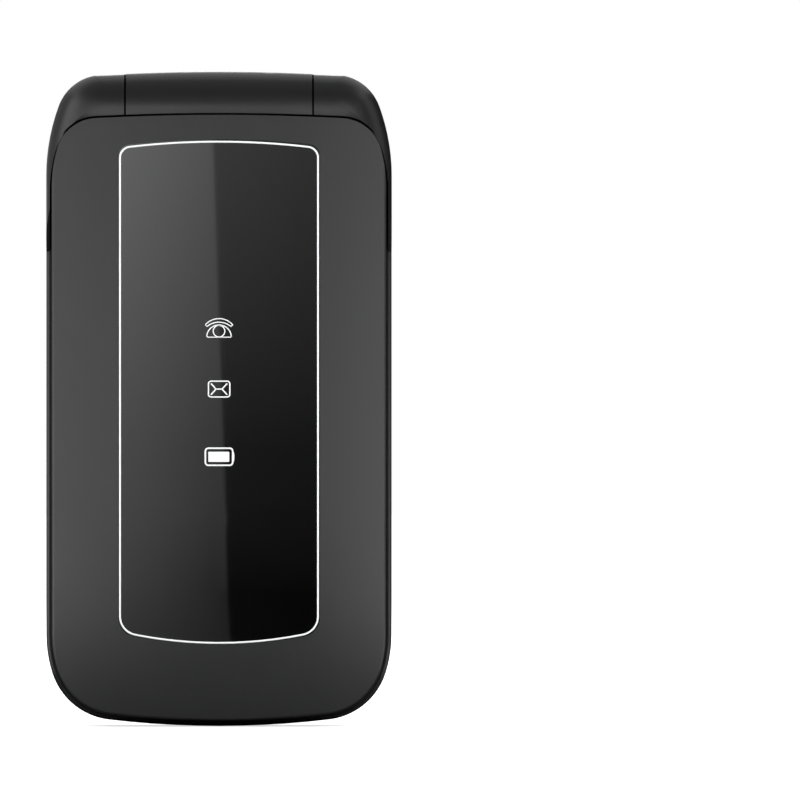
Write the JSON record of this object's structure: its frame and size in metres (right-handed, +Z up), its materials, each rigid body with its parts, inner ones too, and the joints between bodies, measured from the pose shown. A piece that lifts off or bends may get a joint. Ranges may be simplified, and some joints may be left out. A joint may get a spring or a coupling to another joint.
{
  "type": "flip phone",
  "caption": "Folding phone standing on its foot, with a hinged lid over a keypad, a display inside the lid, and a camera, an emergency button and a loudspeaker grille on its back.",
  "frame": {"origin": "middle of the foot, on the floor the phone stands on", "axes": "+Z up towards the hinge, +Y towards the phone's back, +X to the right seen from the front"},
  "size_m": [0.056, 0.0196, 0.1061],
  "materials": {
    "case_black": "fine satin texture",
    "back_black": "soft matte",
    "window_black": "high gloss with printed border",
    "key_black": "satin gloss",
    "nav_silver": "metallic satin",
    "nav_carrier": "moulded",
    "sos_red": "gloss",
    "bezel_grey": "satin",
    "lens_clear": "polished",
    "light_guide": "frosted clear",
    "display": "glass cell",
    "bare_metal": "pressed",
    "cartridge_metal": "turned",
    "board_green": "solder mask",
    "dome_steel": "sprung domes on film",
    "mid_frame": "cast",
    "battery_wrap": "labelled wrap",
    "contact_block": "moulded",
    "speaker_black": "moulded",
    "mesh_black": "woven",
    "antenna_brass": "bare",
    "magnet_steel": "plated",
    "flex_amber": "film",
    "bumper_rubber": "moulded"
  },
  "bodies": {
    "base": {"front_housing": "case_black", "chassis": "mid_frame", "main_board": "board_green", "dome_sheet": "dome_steel", "shield_cans": "bare_metal", "sim_holder": "bare_metal", "battery": "battery_wrap", "battery_contacts": "contact_block", "camera_module": "contact_block", "camera_bezel": "bezel_grey", "camera_window": "lens_clear", "sos_switch": "contact_block", "loudspeaker": "speaker_black", "speaker_mesh": "mesh_black", "vibration_motor": "bare_metal", "antenna": "antenna_brass", "usb_connector": "bare_metal", "headset_jack": "contact_block", "microphone": "contact_block", "hinge_cartridge": "cartridge_metal", "hinge_pin": "bare_metal", "base_flex": "flex_amber", "base_screws": "bare_metal"},
    "lid": {"lid_front_cover": "case_black", "outer_window": "window_black", "icon_light_guide": "light_guide", "lid_board": "board_green", "lid_inner_housing": "case_black", "hinge_barrel": "case_black", "inner_display_lens": "lens_clear", "display_module": "display", "display_frame": "bare_metal", "earpiece_receiver": "speaker_black", "earpiece_mesh": "mesh_black", "lid_screws": "bare_metal", "lid_bumpers": "bumper_rubber", "lid_magnet": "magnet_steel", "lid_flex": "flex_amber"},
    "back_cover": {"back_cover": "back_black"},
    "key_1_body": {"key_1": "key_black"},
    "key_2_body": {"key_2": "key_black"},
    "key_3_body": {"key_3": "key_black"},
    "key_4_body": {"key_4": "key_black"},
    "key_5_body": {"key_5": "key_black"},
    "key_6_body": {"key_6": "key_black"},
    "key_7_body": {"key_7": "key_black"},
    "key_8_body": {"key_8": "key_black"},
    "key_9_body": {"key_9": "key_black"},
    "key_0_body": {"key_0": "key_black"},
    "key_star_body": {"key_star": "key_black"},
    "key_hash_body": {"key_hash": "key_black"},
    "key_soft_left_body": {"key_soft_left": "key_black"},
    "key_soft_right_body": {"key_soft_right": "key_black"},
    "key_call_body": {"key_call": "key_black"},
    "key_end_body": {"key_end": "key_black"},
    "ok_key_body": {"ok_key": "nav_silver"},
    "sos_button_body": {"sos_button": "sos_red"},
    "nav_carrier_body": {"nav_carrier": "nav_carrier"},
    "nav_ring_body": {"nav_ring": "nav_silver"},
    "volume_rocker_body": {"volume_rocker": "key_black"}
  },
  "joints": [
    {"name": "flip_hinge", "type": "hinge", "parent": "base", "child": "lid", "pos_m": [0, -0.00415, 0.10047], "axis": [-1, 0, 0], "range_deg": [0, 160]},
    {"name": "back_cover_lift", "type": "slide", "parent": "base", "child": "back_cover", "axis": [0, 1, 0], "range_m": [0, 0.02]},
    {"name": "key_1_press", "type": "slide", "parent": "base", "child": "key_1_body", "axis": [0, 1, 0], "range_m": [0, 0.0004], "stiffness_N_per_m": 400},
    {"name": "key_2_press", "type": "slide", "parent": "base", "child": "key_2_body", "axis": [0, 1, 0], "range_m": [0, 0.0004], "stiffness_N_per_m": 400},
    {"name": "key_3_press", "type": "slide", "parent": "base", "child": "key_3_body", "axis": [0, 1, 0], "range_m": [0, 0.0004], "stiffness_N_per_m": 400},
    {"name": "key_4_press", "type": "slide", "parent": "base", "child": "key_4_body", "axis": [0, 1, 0], "range_m": [0, 0.0004], "stiffness_N_per_m": 400},
    {"name": "key_5_press", "type": "slide", "parent": "base", "child": "key_5_body", "axis": [0, 1, 0], "range_m": [0, 0.0004], "stiffness_N_per_m": 400},
    {"name": "key_6_press", "type": "slide", "parent": "base", "child": "key_6_body", "axis": [0, 1, 0], "range_m": [0, 0.0004], "stiffness_N_per_m": 400},
    {"name": "key_7_press", "type": "slide", "parent": "base", "child": "key_7_body", "axis": [0, 1, 0], "range_m": [0, 0.0004], "stiffness_N_per_m": 400},
    {"name": "key_8_press", "type": "slide", "parent": "base", "child": "key_8_body", "axis": [0, 1, 0], "range_m": [0, 0.0004], "stiffness_N_per_m": 400},
    {"name": "key_9_press", "type": "slide", "parent": "base", "child": "key_9_body", "axis": [0, 1, 0], "range_m": [0, 0.0004], "stiffness_N_per_m": 400},
    {"name": "key_0_press", "type": "slide", "parent": "base", "child": "key_0_body", "axis": [0, 1, 0], "range_m": [0, 0.0004], "stiffness_N_per_m": 400},
    {"name": "key_star_press", "type": "slide", "parent": "base", "child": "key_star_body", "axis": [0, 1, 0], "range_m": [0, 0.0004], "stiffness_N_per_m": 400},
    {"name": "key_hash_press", "type": "slide", "parent": "base", "child": "key_hash_body", "axis": [0, 1, 0], "range_m": [0, 0.0004], "stiffness_N_per_m": 400},
    {"name": "key_soft_left_press", "type": "slide", "parent": "base", "child": "key_soft_left_body", "axis": [0, 1, 0], "range_m": [0, 0.0004], "stiffness_N_per_m": 400},
    {"name": "key_soft_right_press", "type": "slide", "parent": "base", "child": "key_soft_right_body", "axis": [0, 1, 0], "range_m": [0, 0.0004], "stiffness_N_per_m": 400},
    {"name": "key_call_press", "type": "slide", "parent": "base", "child": "key_call_body", "axis": [0, 1, 0], "range_m": [0, 0.0004], "stiffness_N_per_m": 400},
    {"name": "key_end_press", "type": "slide", "parent": "base", "child": "key_end_body", "axis": [0, 1, 0], "range_m": [0, 0.0004], "stiffness_N_per_m": 400},
    {"name": "ok_key_press", "type": "slide", "parent": "base", "child": "ok_key_body", "axis": [0, 1, 0], "range_m": [0, 0.0004], "stiffness_N_per_m": 400},
    {"name": "sos_press", "type": "slide", "parent": "base", "child": "sos_button_body", "axis": [0, -1, 0], "range_m": [0, 0.0005], "stiffness_N_per_m": 400},
    {"name": "nav_up_down", "type": "hinge", "parent": "base", "child": "nav_carrier_body", "pos_m": [0, 0.00045, 0.0686], "axis": [1, 0, 0], "range_deg": [-1.5, 1.5], "stiffness_Nm_per_rad": 0.03},
    {"name": "nav_left_right", "type": "hinge", "parent": "nav_carrier_body", "child": "nav_ring_body", "pos_m": [0, 0.00025, 0.0686], "axis": [0, 0, 1], "range_deg": [-1.5, 1.5], "stiffness_Nm_per_rad": 0.03},
    {"name": "volume_rock", "type": "hinge", "parent": "base", "child": "volume_rocker_body", "pos_m": [0.0262, 0.0015, 0.07], "axis": [0, 1, 0], "range_deg": [-2, 2], "stiffness_Nm_per_rad": 0.03}
  ]
}
